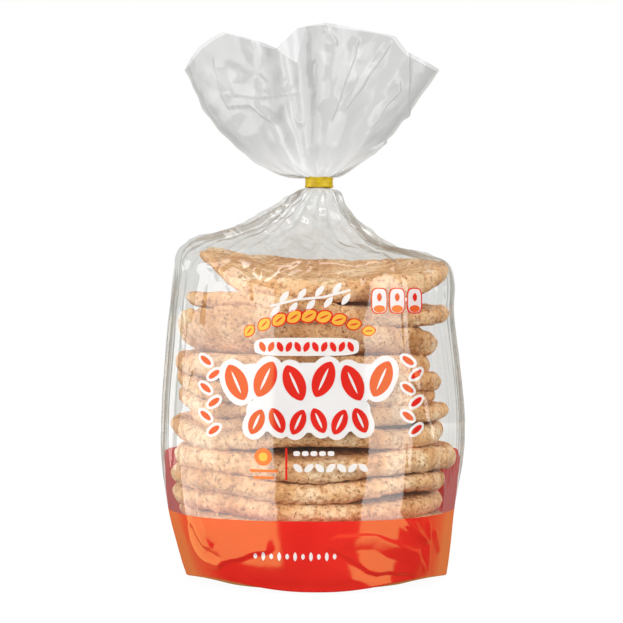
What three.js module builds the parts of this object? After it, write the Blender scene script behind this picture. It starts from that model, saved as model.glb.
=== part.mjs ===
// A clear film bag of puffed wheat cakes, standing on its base, gathered to a neck and tied.
// Millimetres, +Z up. The origin is on the ground under the middle of the bag.
// The front of the bag faces -Y.
import * as THREE from "three";

// ---- Driving dimensions ----
const SEGMENTS = 60; // points round the bag
const LOW_STEPS = 9; // rings from the base rim to the first rib
const RIB_STEPS = 4; // rings from each rib to the next
const HIGH_STEPS = 15; // rings from the last rib to the neck
const FLARE_STEPS = 11; // rings from the neck to the mouth

const NECK_X = 2.0; // the neck is a little off the middle
const NECK_HALF_WIDTH = 4.3;
const NECK_HALF_DEPTH = 3.9;
const TIE_BOTTOM = 159.5;
const TIE_HEIGHT = 4.2;
const TIE_THICKNESS = 0.75;
const TIE_CLEARANCE = 0.35;
const TIE_OVERLAP = THREE.MathUtils.degToRad(70); // how far the tie's end runs over its start
const TIE_END_LIFT = 1.3; // how far that end stands off

const BASE_FLAT_SHARE = 0.8; // the flat part of the base, as a share of its rim
const BASE_CORNER_LIFT = 3.2; // the rim lifts off the ground between the four sides

const PLEAT_DEPTH = 0.13; // share of the radius, in the gathered cone
const MOUTH_LEFT = -53.5;
const MOUTH_RIGHT = 52.4;
const MOUTH_HALF_DEPTH = 24;
const MOUTH_MIDDLE_HEIGHT = 204; // the top sinks a little inside its rim
const RUFFLE_DEPTH = 2;
const PINCH_X = -11; // the two lobes of the mouth meet here
const PINCH_WIDTH = 10;
const PINCH_SHARE = 0.45;
const FLARE_RISE_LEFT = 2.3; // the flare spreads fast at first, then rises: more so on the left
const FLARE_RISE_RIGHT = 1.66;

// The bag's four edges, seen from the front and from the side: distance from the middle and height.
// Each row is one level of the film, from the base rim up to the neck.
const LEVELS = [
  // left      right       front      back       squareness
  [[52.4, 0.6], [55.2, 0.6], [58.2, 0.6], [56.4, 0.6], 2.3], // base rim
  [[56.0, 13.0], [56.7, 12.5], [58.3, 12.5], [57.0, 12.5], 2.25],
  [[59.9, 28.0], [58.3, 27.0], [58.1, 27.0], [57.4, 27.0], 2.25], // top of the printed band
  [[62.3, 46.0], [61.5, 47.0], [57.9, 47.0], [58.2, 47.0], 2.25],
  [[61.9, 66.0], [61.9, 66.0], [57.6, 66.0], [58.0, 66.0], 2.3], // widest
  [[60.4, 88.0], [60.0, 88.0], [57.4, 88.0], [57.2, 88.0], 2.3],
  [[58.6, 108.0], [57.8, 107.0], [56.8, 107.0], [56.4, 107.0], 2.35],
  [[56.8, 122.0], [57.9, 119.5], [55.2, 119.0], [54.4, 120.0], 2.45],
  [[55.2, 132.0], [55.5, 127.6], [51.0, 127.5], [50.0, 128.5], 2.5], // shoulder
  [[48.9, 137.3], [47.2, 131.2], [41.0, 132.2], [40.6, 133.0], 2.35],
  [[36.2, 141.2], [31.4, 135.0], [29.5, 137.2], [29.4, 137.6], 2.2],
  [[24.4, 145.7], [21.4, 142.6], [19.6, 143.4], [19.4, 143.4], 2.1], // gathered cone
  [[13.0, 152.4], [13.2, 151.6], [10.8, 151.6], [10.8, 151.6], 2.0],
  [[6.6, 157.4], [10.6, 157.0], [7.2, 157.0], [7.2, 157.0], 2.0],
  [[2.3, 159.6], [6.3, 159.6], [3.9, 159.6], [3.9, 159.6], 2.0], // bottom of the tie
];

// Where the film lies on the stack it has a rib at each cake's rim, with a groove between two ribs. The ribs
// fade out towards the two sides, where the film stands clear of the cakes.
const GROOVE_DEPTH = 1.4;
const RIB_PLACES = [0, 90, 180, 225, 270, 315, 360]; // degrees: right, back, left, front left, front, front right
// Heights of the rims of the cakes above the band, in those directions.
const RIBS = [
  [29.8, 31.0, 36.0, 34.3, 29.6, 30.2],
  [38.2, 39.0, 42.6, 41.2, 37.2, 40.0],
  [49.0, 51.5, 48.5, 48.2, 46.1, 46.5],
  [59.8, 59.0, 61.8, 56.6, 59.6, 61.0],
  [67.0, 66.0, 68.0, 63.4, 66.6, 68.0],
  [73.2, 73.0, 74.3, 69.0, 73.0, 74.0],
  [79.7, 80.5, 81.0, 75.8, 79.8, 80.5],
  [86.0, 89.0, 87.6, 85.0, 87.6, 87.5],
  [94.0, 97.5, 100.5, 103.0, 97.6, 97.2],
  [105.0, 109.5, 112.4, 112.4, 107.8, 106.0],
  [117.0, 120.5, 121.0, 119.5, 116.0, 117.5],
];

// The mouth's rim seen from the front: how far across and how high, for its front and its back.
const FRONT_RIM = [[-53.5, 208.2], [-49.6, 213.0], [-46.9, 216.2], [-41.8, 219.4], [-36.6, 221.6],
  [-15.2, 215.6], [-6.5, 209.5], [-3.0, 223.8], [4.4, 224.5], [13.0, 223.4], [33.4, 219.8], [38.2, 213.8],
  [52.4, 207.8]];
const BACK_RIM = [[-53.5, 208.2], [-49.6, 214.8], [-46.9, 218.6], [-41.8, 222.8], [-36.6, 225.7],
  [-26.0, 223.0], [-15.5, 218.6], [-10.2, 223.8], [-6.5, 227.4], [-3.0, 228.6], [4.4, 230.2], [13.0, 229.0],
  [33.4, 224.2], [38.6, 217.4], [52.4, 207.8]];

const TOP_MIDDLE = new THREE.Vector3(PINCH_X, 0, MOUTH_MIDDLE_HEIGHT);
const SHARE_HALVINGS = 24; // enough to place a ring within a micrometre

// ---- Colours ----
const filmMaterial = new THREE.MeshStandardMaterial({ color: 0xdfe2dc, roughness: 0.15, metalness: 0 });
const tieMaterial = new THREE.MeshStandardMaterial({ color: 0xe3c21c, roughness: 0.4, metalness: 0 });

// ---- The bag's form ----
const EDGE = { left: 0, right: 1, front: 2, back: 3 };
const edgeCurves = Object.values(EDGE).map(
  (edge) => new THREE.CatmullRomCurve3(
    LEVELS.map((level) => new THREE.Vector3(level[edge][0], 0, level[edge][1])), false, "catmullrom", 0.5),
);

function smoothBump(value, start, middle, end) {
  return THREE.MathUtils.smoothstep(value, start, middle) * (1 - THREE.MathUtils.smoothstep(value, middle, end));
}

function signedPower(value, power) {
  return Math.sign(value) * Math.abs(value) ** power;
}

function pleat(angle) {
  return 0.6 * Math.cos(9 * angle + 0.7) + 0.4 * Math.cos(5 * angle + 2.1);
}

// A level of the plain body: share runs from 0 at the base rim to 1 at the bottom of the tie.
function bodyPoint(share, angle) {
  const across = Math.cos(angle);
  const along = Math.sin(angle);
  const [left, right, front, back] = edgeCurves.map((curve) => curve.getPoint(share));
  const side = across < 0 ? left : right;
  const face = along < 0 ? front : back;
  const row = share * (LEVELS.length - 1);
  const low = Math.min(Math.floor(row), LEVELS.length - 2);
  const squareness = THREE.MathUtils.lerp(LEVELS[low][4], LEVELS[low + 1][4], row - low);
  const middleX = (right.x - left.x) / 2;
  const halfWidth = (right.x + left.x) / 2;
  const pleated = 1 + PLEAT_DEPTH * smoothBump(share, 0.55, 0.8, 1) * pleat(angle);
  const cornerLift = BASE_CORNER_LIFT * Math.sin(2 * angle) ** 2 * (1 - THREE.MathUtils.smoothstep(share, 0, 0.1));
  return new THREE.Vector3(
    middleX + halfWidth * signedPower(across, 2 / squareness) * pleated,
    face.x * signedPower(along, 2 / squareness) * pleated,
    side.z * across ** 2 + face.z * along ** 2 + cornerLift,
  );
}

// The share at which the body passes a height, found by halving.
function shareAt(angle, height) {
  let low = 0;
  let high = 1;
  for (let i = 0; i < SHARE_HALVINGS; i += 1) {
    const middle = (low + high) / 2;
    if (bodyPoint(middle, angle).z < height) low = middle;
    else high = middle;
  }
  return (low + high) / 2;
}

// Height of a cake's rim in a direction, eased between the directions that its row names.
function ribHeight(rib, angle) {
  const degrees = THREE.MathUtils.radToDeg(angle);
  let i = 0;
  while (degrees > RIB_PLACES[i + 1]) i += 1;
  const ease = THREE.MathUtils.smoothstep(degrees, RIB_PLACES[i], RIB_PLACES[i + 1]);
  return THREE.MathUtils.lerp(rib[i], rib[(i + 1) % rib.length], ease);
}

// A point of the ribbed part: rank is 0 at the first rib, 1 at the second and so on, with grooves between.
function ribPoint(rank, angle) {
  const low = Math.min(Math.floor(rank), RIBS.length - 2);
  const height = THREE.MathUtils.lerp(ribHeight(RIBS[low], angle), ribHeight(RIBS[low + 1], angle), rank - low);
  const point = bodyPoint(shareAt(angle, height), angle);
  const faceShare = THREE.MathUtils.smoothstep(Math.abs(Math.sin(angle)), 0.25, 0.75);
  point.y -= Math.sign(point.y) * GROOVE_DEPTH * faceShare * Math.sin(Math.PI * rank) ** 2;
  return point;
}

// Height of the rim at x, on a straight line between neighbouring rim points.
function rimHeight(rim, x) {
  let i = 0;
  while (i < rim.length - 2 && x > rim[i + 1][0]) i += 1;
  const [x0, z0] = rim[i];
  const [x1, z1] = rim[i + 1];
  return THREE.MathUtils.mapLinear(x, x0, x1, z0, z1);
}

function mouthRim(angle) {
  const across = Math.cos(angle);
  const along = Math.sin(angle);
  const x = THREE.MathUtils.lerp(MOUTH_LEFT, MOUTH_RIGHT, (across + 1) / 2);
  const pinch = 1 - PINCH_SHARE * Math.exp(-(((x - PINCH_X) / PINCH_WIDTH) ** 2));
  const ruffle = RUFFLE_DEPTH * along ** 2 * Math.cos(9 * angle + 0.7);
  const y = (MOUTH_HALF_DEPTH * pinch + ruffle) * signedPower(along, 0.9);
  return new THREE.Vector3(x, y, rimHeight(along < 0 ? FRONT_RIM : BACK_RIM, x));
}

function neckPoint(angle, z) {
  return new THREE.Vector3(
    NECK_X + NECK_HALF_WIDTH * Math.cos(angle), NECK_HALF_DEPTH * Math.sin(angle), z);
}

// A level of the flare: share runs from 0 at the top of the tie to 1 at the rim.
function flarePoint(share, angle) {
  const neck = neckPoint(angle, TIE_BOTTOM + TIE_HEIGHT);
  const rim = mouthRim(angle);
  const rise = THREE.MathUtils.lerp(FLARE_RISE_LEFT, FLARE_RISE_RIGHT, (Math.cos(angle) + 1) / 2);
  return new THREE.Vector3(
    THREE.MathUtils.lerp(neck.x, rim.x, share),
    THREE.MathUtils.lerp(neck.y, rim.y, share),
    THREE.MathUtils.lerp(neck.z, rim.z, share ** rise),
  );
}

// The top inside the rim, sinking towards the waist between the two lobes.
function topPoint(share, angle) {
  const rim = mouthRim(angle);
  const point = TOP_MIDDLE.clone().lerp(rim, share);
  point.z = THREE.MathUtils.lerp(TOP_MIDDLE.z, rim.z, share ** 2);
  return point;
}

function ring(pointAt) {
  const points = [];
  for (let i = 0; i < SEGMENTS; i += 1) points.push(pointAt((2 * Math.PI * i) / SEGMENTS));
  return points;
}

// Rings joined from the bottom up, closed by a fan to one point at each end.
function closedLoft(rings, bottomPoint, topMiddle) {
  const vertices = [bottomPoint, ...rings.flat(), topMiddle];
  const last = vertices.length - 1;
  const faces = [];
  for (let i = 0; i < SEGMENTS; i += 1) {
    const next = (i + 1) % SEGMENTS;
    faces.push(0, 1 + next, 1 + i);
    for (let level = 0; level < rings.length - 1; level += 1) {
      const low = 1 + level * SEGMENTS;
      const high = low + SEGMENTS;
      faces.push(low + i, low + next, high + next, low + i, high + next, high + i);
    }
    const top = 1 + (rings.length - 1) * SEGMENTS;
    faces.push(top + i, top + next, last);
  }
  const geometry = new THREE.BufferGeometry();
  geometry.setAttribute("position", new THREE.Float32BufferAttribute(vertices.flatMap((v) => v.toArray()), 3));
  geometry.setIndex(faces);
  geometry.computeVertexNormals();
  return geometry;
}

function makeBag() {
  const rings = [];
  const baseMiddle = new THREE.Vector3(0, 0, 0);
  rings.push(ring((angle) => bodyPoint(0, angle).multiplyScalar(BASE_FLAT_SHARE).setZ(0)));
  const firstRib = (angle) => shareAt(angle, ribHeight(RIBS[0], angle));
  const lastRib = (angle) => shareAt(angle, ribHeight(RIBS[RIBS.length - 1], angle));
  for (let i = 0; i < LOW_STEPS; i += 1) {
    rings.push(ring((angle) => bodyPoint((firstRib(angle) * i) / LOW_STEPS, angle)));
  }
  for (let i = 0; i < (RIBS.length - 1) * RIB_STEPS; i += 1) {
    rings.push(ring((angle) => ribPoint(i / RIB_STEPS, angle)));
  }
  for (let i = 0; i <= HIGH_STEPS; i += 1) {
    rings.push(ring((angle) => bodyPoint(THREE.MathUtils.lerp(lastRib(angle), 1, i / HIGH_STEPS), angle)));
  }
  rings.push(ring((angle) => neckPoint(angle, TIE_BOTTOM + TIE_HEIGHT / 2)));
  for (let i = 0; i <= FLARE_STEPS; i += 1) rings.push(ring((angle) => flarePoint(i / FLARE_STEPS, angle)));
  for (const share of [0.75, 0.45, 0.15]) rings.push(ring((angle) => topPoint(share, angle)));
  const bag = new THREE.Mesh(closedLoft(rings, baseMiddle, TOP_MIDDLE), filmMaterial);
  bag.name = "bag";
  return bag;
}

// ---- The tie: a narrow strip wound once round the neck, its end lying over its start ----
function makeTie() {
  const steps = 48;
  const turn = 2 * Math.PI + TIE_OVERLAP;
  const inner = [];
  const outer = [];
  for (let i = 0; i <= steps; i += 1) {
    const angle = (turn * i) / steps;
    const over = THREE.MathUtils.smoothstep(angle, 2 * Math.PI - 1.2, 2 * Math.PI);
    const lift = TIE_END_LIFT * THREE.MathUtils.smoothstep(angle, 2 * Math.PI, turn);
    const stand = TIE_CLEARANCE + (TIE_THICKNESS + TIE_CLEARANCE) * over + lift;
    const at = (extra) => new THREE.Vector2(
      (NECK_HALF_WIDTH + stand + extra) * Math.cos(angle),
      (NECK_HALF_DEPTH + stand + extra) * Math.sin(angle),
    );
    inner.push(at(0));
    outer.push(at(TIE_THICKNESS));
  }
  const outline = new THREE.Shape([...inner, ...outer.reverse()]);
  const strip = new THREE.ExtrudeGeometry(outline, { depth: TIE_HEIGHT, bevelEnabled: false });
  const tie = new THREE.Mesh(strip, tieMaterial);
  tie.name = "tie";
  tie.position.set(NECK_X, 0, TIE_BOTTOM);
  return tie;
}

const pack = new THREE.Group();
pack.add(makeBag(), makeTie());

export default pack;
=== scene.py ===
"""A clear film bag of puffed wheat cakes, gathered to a neck and tied, standing on a pale floor.

Shapes are worked out in millimetres and turned into metres when a mesh is made. The bag's front faces -Y.
"""

import math

import bpy
import numpy as np
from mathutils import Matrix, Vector


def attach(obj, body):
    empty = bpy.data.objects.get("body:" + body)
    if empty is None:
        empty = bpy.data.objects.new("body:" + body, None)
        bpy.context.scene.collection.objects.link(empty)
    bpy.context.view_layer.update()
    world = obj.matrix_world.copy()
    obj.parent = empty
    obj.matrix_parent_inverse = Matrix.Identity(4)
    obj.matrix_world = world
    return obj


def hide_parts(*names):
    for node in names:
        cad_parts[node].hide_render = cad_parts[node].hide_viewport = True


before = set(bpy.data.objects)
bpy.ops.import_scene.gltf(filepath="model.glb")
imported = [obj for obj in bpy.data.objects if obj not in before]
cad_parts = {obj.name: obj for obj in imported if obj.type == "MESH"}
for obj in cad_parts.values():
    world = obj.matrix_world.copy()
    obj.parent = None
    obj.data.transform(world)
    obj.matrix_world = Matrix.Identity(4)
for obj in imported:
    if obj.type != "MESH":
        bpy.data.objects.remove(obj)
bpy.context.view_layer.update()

MM = 0.001
BODY = "root"
SEED = 7

# -------------------- the bag's form, as in the CAD model

NECK_X = 2.0
NECK_HALF_WIDTH = 4.3
NECK_HALF_DEPTH = 3.9
TIE_BOTTOM = 159.5
TIE_HEIGHT = 4.2
BASE_FLAT_SHARE = 0.8
BASE_CORNER_LIFT = 3.2
PLEAT_DEPTH = 0.13
MOUTH_LEFT = -53.5
MOUTH_RIGHT = 52.4
MOUTH_HALF_DEPTH = 24.0
RUFFLE_DEPTH = 2.0
RUFFLES = 9
RUFFLE_TURN = 0.7
BROAD_PLEATS = 5
BROAD_PLEAT_TURN = 2.1
PINCH_X = -11.0
PINCH_WIDTH = 10.0
PINCH_SHARE = 0.45
FLARE_RISE_LEFT = 2.3
FLARE_RISE_RIGHT = 1.66

# Each level of the film: left, right, front and back as distance from the middle and height, then squareness.
LEVELS = np.array([
    [52.4, 0.6, 55.2, 0.6, 58.2, 0.6, 56.4, 0.6, 2.3],
    [56.0, 13.0, 56.7, 12.5, 58.3, 12.5, 57.0, 12.5, 2.25],
    [59.9, 28.0, 58.3, 27.0, 58.1, 27.0, 57.4, 27.0, 2.25],
    [62.3, 46.0, 61.5, 47.0, 57.9, 47.0, 58.2, 47.0, 2.25],
    [61.9, 66.0, 61.9, 66.0, 57.6, 66.0, 58.0, 66.0, 2.3],
    [60.4, 88.0, 60.0, 88.0, 57.4, 88.0, 57.2, 88.0, 2.3],
    [58.6, 108.0, 57.8, 107.0, 56.8, 107.0, 56.4, 107.0, 2.35],
    [56.8, 122.0, 57.9, 119.5, 55.2, 119.0, 54.4, 120.0, 2.45],
    [55.2, 132.0, 55.5, 127.6, 51.0, 127.5, 50.0, 128.5, 2.5],
    [48.9, 137.3, 47.2, 131.2, 41.0, 132.2, 40.6, 133.0, 2.35],
    [36.2, 141.2, 31.4, 135.0, 29.5, 137.2, 29.4, 137.6, 2.2],
    [24.4, 145.7, 21.4, 142.6, 19.6, 143.4, 19.4, 143.4, 2.1],
    [13.0, 152.4, 13.2, 151.6, 10.8, 151.6, 10.8, 151.6, 2.0],
    [6.6, 157.4, 10.6, 157.0, 7.2, 157.0, 7.2, 157.0, 2.0],
    [2.3, 159.6, 6.3, 159.6, 3.9, 159.6, 3.9, 159.6, 2.0],
])

# The mouth's rim seen from the front: across and height.
FRONT_RIM = np.array([[-53.5, 208.2], [-49.6, 213.0], [-46.9, 216.2], [-41.8, 219.4], [-36.6, 221.6],
                      [-15.2, 215.6], [-6.5, 209.5], [-3.0, 223.8], [4.4, 224.5], [13.0, 223.4],
                      [33.4, 219.8], [38.2, 213.8], [52.4, 207.8]])
BACK_RIM = np.array([[-53.5, 208.2], [-49.6, 214.8], [-46.9, 218.6], [-41.8, 222.8], [-36.6, 225.7],
                     [-26.0, 223.0], [-15.5, 218.6], [-10.2, 223.8], [-6.5, 227.4], [-3.0, 228.6],
                     [4.4, 230.2], [13.0, 229.0], [33.4, 224.2], [38.6, 217.4], [52.4, 207.8]])


def smoothstep(value, low, high):
    t = np.clip((value - low) / (high - low), 0.0, 1.0)
    return t * t * (3 - 2 * t)


def smooth_bump(value, start, middle, end):
    return smoothstep(value, start, middle) * (1 - smoothstep(value, middle, end))


def signed_power(value, power):
    return np.sign(value) * np.abs(value) ** power


def spline_rows(rows, share):
    """A Catmull-Rom curve through evenly spaced rows, at shares from 0 to 1."""
    last = len(rows) - 1
    padded = np.vstack([2 * rows[0] - rows[1], rows, 2 * rows[-1] - rows[-2]])
    place = np.clip(share, 0, 1) * last
    low = np.minimum(np.floor(place).astype(int), last - 1)
    t = (place - low)[:, None]
    before, start, end, after = (padded[low + k] for k in range(4))
    return 0.5 * (2 * start + (end - before) * t + (2 * before - 5 * start + 4 * end - after) * t ** 2
                  + (3 * start - before - 3 * end + after) * t ** 3)


def squareness_at(share):
    return np.interp(share * (len(LEVELS) - 1), np.arange(len(LEVELS)), LEVELS[:, 8])


def ruffle(angle):
    """Even waves round the neck, in the pleats below the tie and at the mouth's rim."""
    return np.cos(RUFFLES * angle + RUFFLE_TURN)


def pleat(angle):
    return 0.6 * ruffle(angle) + 0.4 * np.cos(BROAD_PLEATS * angle + BROAD_PLEAT_TURN)


def body_form(share, angle):
    """The film below the tie: share runs from 0 at the base rim to 1 at the tie."""
    across, along = np.cos(angle), np.sin(angle)
    left, left_z, right, right_z, front, front_z, back, back_z, _ = spline_rows(LEVELS, share).T
    power = 2 / squareness_at(share)
    side_z = np.where(across < 0, left_z, right_z)
    face_z = np.where(along < 0, front_z, back_z)
    face = np.where(along < 0, front, back)
    pleated = 1 + PLEAT_DEPTH * smooth_bump(share, 0.55, 0.8, 1.0) * pleat(angle)
    lift = BASE_CORNER_LIFT * np.sin(2 * angle) ** 2 * (1 - smoothstep(share, 0, 0.1))
    return np.stack([
        (right - left) / 2 + (right + left) / 2 * signed_power(across, power) * pleated,
        face * signed_power(along, power) * pleated,
        side_z * across ** 2 + face_z * along ** 2 + lift,
    ], axis=1)


def rim_height(rim, x):
    return np.interp(x, rim[:, 0], rim[:, 1])


def mouth_rim(angle):
    across, along = np.cos(angle), np.sin(angle)
    x = MOUTH_LEFT + (MOUTH_RIGHT - MOUTH_LEFT) * (across + 1) / 2
    pinch = 1 - PINCH_SHARE * np.exp(-((x - PINCH_X) / PINCH_WIDTH) ** 2)
    wave = RUFFLE_DEPTH * along ** 2 * ruffle(angle)
    y = (MOUTH_HALF_DEPTH * pinch + wave) * signed_power(along, 0.9)
    z = np.where(along < 0, rim_height(FRONT_RIM, x), rim_height(BACK_RIM, x))
    return np.stack([x, y, z], axis=1)


def neck_form(angle, z):
    return np.stack([
        NECK_X + NECK_HALF_WIDTH * np.cos(angle), NECK_HALF_DEPTH * np.sin(angle), z + 0 * angle], axis=1)


def flare_form(share, angle):
    """The film above the tie: share runs from 0 at the tie to 1 at the rim."""
    neck, rim = neck_form(angle, TIE_BOTTOM + TIE_HEIGHT), mouth_rim(angle)
    rise = FLARE_RISE_LEFT + (FLARE_RISE_RIGHT - FLARE_RISE_LEFT) * (np.cos(angle) + 1) / 2
    t = np.stack([share, share, share ** rise], axis=1)
    return neck + (rim - neck) * t


NECK_SPAN = 0.05  # of the film's level, for the stretch inside the tie


def film_form(level, angle):
    """The whole film before it creases.

    Level is 0 at the base rim, 1 at the bottom of the tie, 1.05 at its top and 2.05 at the mouth's rim.
    """
    body = body_form(np.minimum(level, 1.0), angle)
    flare = flare_form(np.clip(level - 1 - NECK_SPAN, 0, 1), angle)
    neck_share = np.clip((level - 1) / NECK_SPAN, 0, 1)
    neck = neck_form(angle, TIE_BOTTOM + TIE_HEIGHT * neck_share)
    in_body, in_flare = (level <= 1)[:, None], (level >= 1 + NECK_SPAN)[:, None]
    return np.where(in_body, body, np.where(in_flare, flare, neck))


# -------------------- noise, seeded and the same each run

LOW_BITS = 0xFFFFFFFF
CELL_FACTORS = (374761393, 668265263, 1440662683)  # large odd numbers, which scatter cells side by side
SEED_FACTOR = 1274126177
FOLD_SWAY = 0.22  # how far a straight crease sways, as a share of the creases' spacing
FOLD_SWAY_LENGTH = 2.6  # over how many spacings it sways
PUFF_STRAY = 0.42  # how far a bump's top lies from the middle of its cell, at most
PUFF_REACH = 0.72  # the square of a bump's radius, in cells


def lattice(cell, seed):
    """One pseudo-random number in -1..1 for each whole-number cell."""
    h = sum(cell[:, k] * factor for k, factor in enumerate(CELL_FACTORS)) + seed * SEED_FACTOR
    h = h & LOW_BITS
    h = ((h ^ (h >> 13)) * 1103515245) & LOW_BITS
    h = ((h ^ (h >> 16)) * 2246822519) & LOW_BITS
    return (h >> 8).astype(float) / 0x7FFFFF - 1.0


def soft_noise(points, size, seed):
    """Smooth noise in -1..1 with lumps of about that size."""
    p = points / size
    cell = np.floor(p).astype(np.int64)
    t = p - cell
    t = t * t * (3 - 2 * t)
    total = np.zeros(len(points))
    for corner in np.ndindex(2, 2, 2):
        weight = np.prod(np.where(np.array(corner) == 1, t, 1 - t), axis=1)
        total += weight * lattice(cell + np.array(corner), seed)
    return total


def puffs(points, size, seed):
    """Rounded bumps packed side by side: 1 on a bump's top and 0 in the creases between bumps."""
    p = points / size
    cell = np.floor(p).astype(np.int64)
    nearest = np.full(len(points), 9.0)
    for step in np.ndindex(3, 3, 3):
        near = cell + np.array(step) - 1
        centre = near + 0.5 + PUFF_STRAY * np.stack([lattice(near, seed + k) for k in range(3)], axis=1)
        nearest = np.minimum(nearest, ((p - centre) ** 2).sum(axis=1))
    return 1 - np.clip(nearest / PUFF_REACH, 0, 1)


def fold(points, direction, spacing, phase):
    """Straight creases across a direction, with flat faces between them: -1 to 1."""
    t = points @ direction / spacing + phase + FOLD_SWAY * soft_noise(points, FOLD_SWAY_LENGTH * spacing, 11)
    return 4 * np.abs(t - np.floor(t + 0.5)) - 1


def crumple(points, size, seed, count=5):
    """Crossing creases that leave flat facets of about that size."""
    rng = np.random.default_rng(seed)
    total = np.zeros(len(points))
    for _ in range(count):
        direction = rng.normal(size=3)
        direction /= np.linalg.norm(direction)
        strength = 0.5 + 0.5 * soft_noise(points, 3.5 * size, int(rng.integers(1 << 20)))
        total += strength * fold(points, direction, size * rng.uniform(0.8, 2.2), rng.uniform())
    return total / math.sqrt(count)


# -------------------- the creased film

FRONT_CREASE = 0.25
SIDE_FLUTE = 0.8
SIDE_FINE_FLUTE = 0.35
SIDE_FLUTE_SPACING = 10.0
SIDE_FINE_FLUTE_SPACING = SIDE_FLUTE_SPACING / 2.7
BAND_BULGE = 1.4
BAND_BULGE_HEIGHT = 18.0
CONE_CRUMPLE = 1.05
CONE_FINE_CRUMPLE = 0.4
CONE_PLEATS = 17
CONE_PLEAT_DEPTH = 1.2
FLARE_CRUMPLE = 1.3
FLARE_FINE_CRUMPLE = 0.5
FLARE_PLEATS = 19
FLARE_PLEAT_DEPTH = 0.7
PLEAT_SLOPE = 0.12  # near the neck, a pleat's depth as a share of its distance from the neck's middle

# Single creases on the front: how far each stands out, how wide its gentle side is, and where it runs, as
# points across and up. One that is pressed in has a minus.
CREASES = [
    # the flare: a forked fold in the left lobe, long folds fanning up the right lobe
    (2.2, 4.6, [(-14.5, 183), (-25.6, 192), (-34.6, 192), (-37.0, 196.5), (-40.3, 213)]),
    (1.6, 4.0, [(-4.3, 197.6), (-22.0, 195.5), (-38.0, 196.5)]),
    (1.7, 3.8, [(19.4, 220), (15.4, 210), (12.5, 202), (7.7, 184.5)]),
    (-1.3, 3.4, [(16.6, 217), (10.5, 194)]),
    (1.2, 3.2, [(1.2, 210), (1.0, 199)]),
    (1.3, 3.5, [(4.9, 224), (9.8, 216)]),
    (1.6, 3.0, [(32.8, 219), (12.8, 189)]),
    (1.3, 3.0, [(34.5, 204), (35.5, 199), (22.5, 182.5)]),
    (1.5, 4.2, [(39.0, 215), (38.5, 186)]),
    (1.1, 2.8, [(23.3, 174), (30.1, 179.5)]),
    (1.0, 3.0, [(-9.0, 196), (-7.5, 189), (-2.5, 184.5)]),
    (0.9, 3.0, [(-24.0, 206), (-17.5, 201.5), (-9.0, 204)]),
    # the cone: bright wrinkles that slant down over the uppermost cake
    (1.5, 3.2, [(-16.5, 139), (-25.0, 132.5), (-36.0, 127.5), (-46.0, 126.5)]),
    (1.3, 2.8, [(-8.0, 133.5), (-14.0, 128.5), (-24.5, 124.5)]),
    (1.4, 3.2, [(3.9, 133), (-2.0, 124.5), (-13.8, 119.5)]),
    (1.2, 3.0, [(5.3, 146), (4.5, 134), (2.0, 129)]),
    (1.1, 2.8, [(9.5, 123.5), (20.5, 121.5)]),
    (1.2, 3.0, [(22.0, 137), (33.8, 126)]),
    (0.9, 2.4, [(-40.0, 129.5), (-33.5, 118.5), (-31.0, 113)]),
    (0.8, 2.4, [(-29.0, 123), (-24.5, 118), (-23.0, 112)]),
    # long upright folds near the two sides
    (0.65, 1.7, [(-51.0, 119), (-51.2, 97), (-51.0, 80)]),
    (0.7, 1.8, [(-46.3, 87), (-48.2, 78), (-51.0, 68), (-54.0, 54), (-56.0, 42)]),
    (0.7, 1.7, [(38.2, 94), (40.5, 87), (44.3, 76), (46.5, 66), (48.8, 57)]),
    (0.5, 1.5, [(52.0, 118), (54.0, 112), (54.0, 99)]),
    (0.6, 1.6, [(52.5, 46), (51.5, 28)]),
    (0.6, 1.6, [(55.0, 49), (55.5, 36)]),
    # the band: folds that run to its lower right corner, and a long bowed one
    (0.9, 3.0, [(34.6, 29), (45.1, 16.4), (44.7, 3)]),
    (0.7, 2.0, [(39.0, 27), (44.5, 17)]),
    (0.7, 1.8, [(45.3, 26), (45.7, 16.4)]),
    (0.8, 2.2, [(47.8, 23), (50.3, 11.6)]),
    (0.9, 6.0, [(3.0, 18.9), (9.2, 21.6), (23.3, 21.9), (40.3, 14.2), (44.0, 4)]),
    (-0.8, 5.0, [(3.0, 18.0), (13.1, 13.2), (20.9, 7.6), (42.0, 4)]),
    (-0.5, 4.0, [(-49.0, 25), (-42.6, 16.4), (-35.6, 12.6)]),
    (0.6, 6.0, [(-13.9, 18), (-34.6, 11.8), (-39.4, 7)]),
]


CREASE_WAVER = 0.8  # how far a crease strays from its straight run, in mm
CREASE_WAVER_LENGTH = 6.0  # and over what length
STEEP_SIDE = 0.17  # a crease's steep side, as a share of its gentle side
CREASE_FADE = 0.16  # share of a crease's length over which each end fades out


def one_crease(flat, width, path):
    """1 along a crease, falling gently on its one side and steeply on the other, seen from the front."""
    path = np.array(path, dtype=float)
    runs = np.diff(path, axis=0)
    lengths = np.hypot(*runs.T)
    passed = np.concatenate([[0], np.cumsum(lengths)]) / lengths.sum()
    nearest = np.full(len(flat), np.inf)
    steep = np.zeros(len(flat), dtype=bool)
    place = np.zeros(len(flat))
    for start, run, length, low, high in zip(path, runs, lengths, passed, passed[1:]):
        offset = flat - start
        t = np.clip(offset @ run / length ** 2, 0, 1)
        distance = np.hypot(*(offset - t[:, None] * run).T)
        closer = distance < nearest
        nearest = np.where(closer, distance, nearest)
        steep = np.where(closer, offset @ [-run[1], run[0]] > 0, steep)
        place = np.where(closer, low + (high - low) * t, place)
    reach = width * np.where(steep, STEEP_SIDE, 1.0)
    ends = smoothstep(place, 0, CREASE_FADE) * (1 - smoothstep(place, 1 - CREASE_FADE, 1))
    return np.clip(1 - nearest / reach, 0, 1) * ends


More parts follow.
